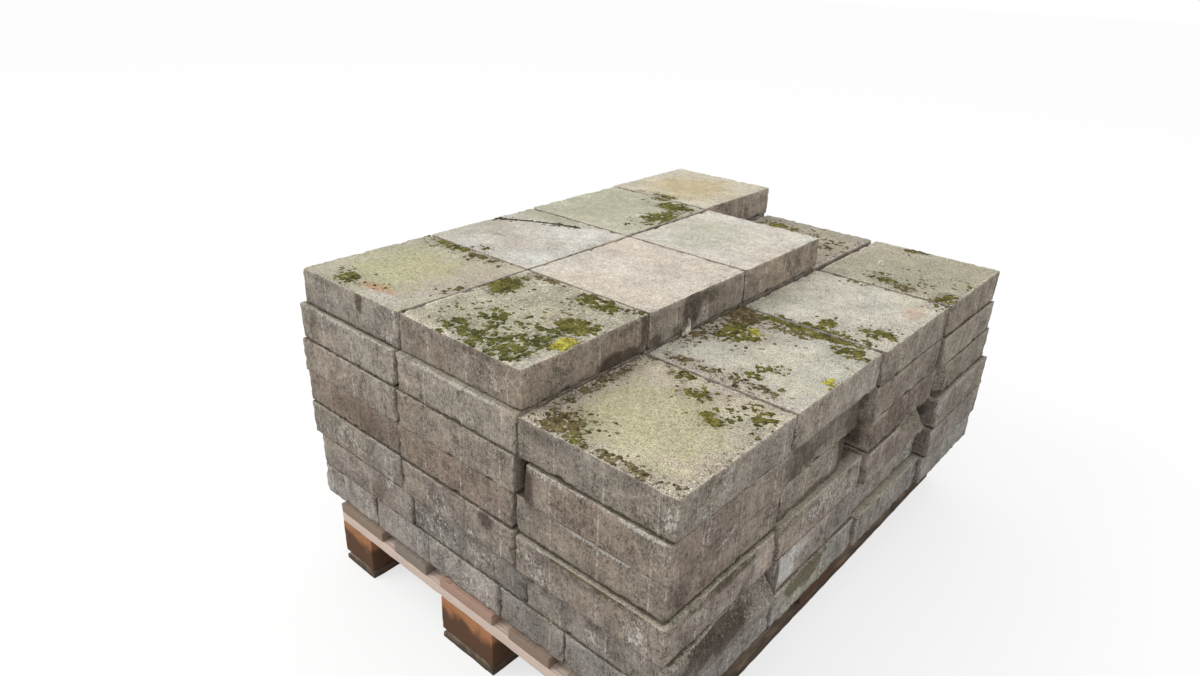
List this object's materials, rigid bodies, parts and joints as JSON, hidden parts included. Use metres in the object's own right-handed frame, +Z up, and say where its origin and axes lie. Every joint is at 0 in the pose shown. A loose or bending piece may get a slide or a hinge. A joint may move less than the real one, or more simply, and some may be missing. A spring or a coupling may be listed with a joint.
{
  "type": "pallet of concrete paving slabs",
  "caption": "Timber block pallet loaded with layers of square concrete paving slabs, the top layer part used, slabs lying loose and unstrapped, weathered and mossy on top.",
  "frame": {"origin": "middle of the pallet's underside, on the floor", "axes": "+Z up, X across the pallet's short side, +Y along its long side away from the picture's near end"},
  "size_m": [0.947, 1.2346, 0.648],
  "materials": {
    "concrete": "weathered cast concrete, fine exposed grit, moss and lichen on the upper faces",
    "timber": "rough sawn softwood, greyed where the weather reaches it"
  },
  "bodies": {
    "root": {"bottom_slab_layer": "concrete", "slab_layer_2": "concrete", "slab_layer_3": "concrete", "slab_layer_4": "concrete", "slab_layer_5": "concrete", "slab_layer_6": "concrete", "top_slab_layer": "concrete", "deck_board_1": "timber", "deck_board_2": "timber", "deck_board_3": "timber", "deck_board_4": "timber", "deck_board_5": "timber", "stringer_board_front": "timber", "stringer_board_middle": "timber", "stringer_board_back": "timber", "block_front_left": "timber", "block_front_centre": "timber", "block_front_right": "timber", "block_middle_left": "timber", "block_middle_centre": "timber", "block_middle_right": "timber", "block_back_left": "timber", "block_back_centre": "timber", "block_back_right": "timber", "bottom_board_left": "timber", "bottom_board_centre": "timber", "bottom_board_right": "timber"}
  },
  "joints": []
}
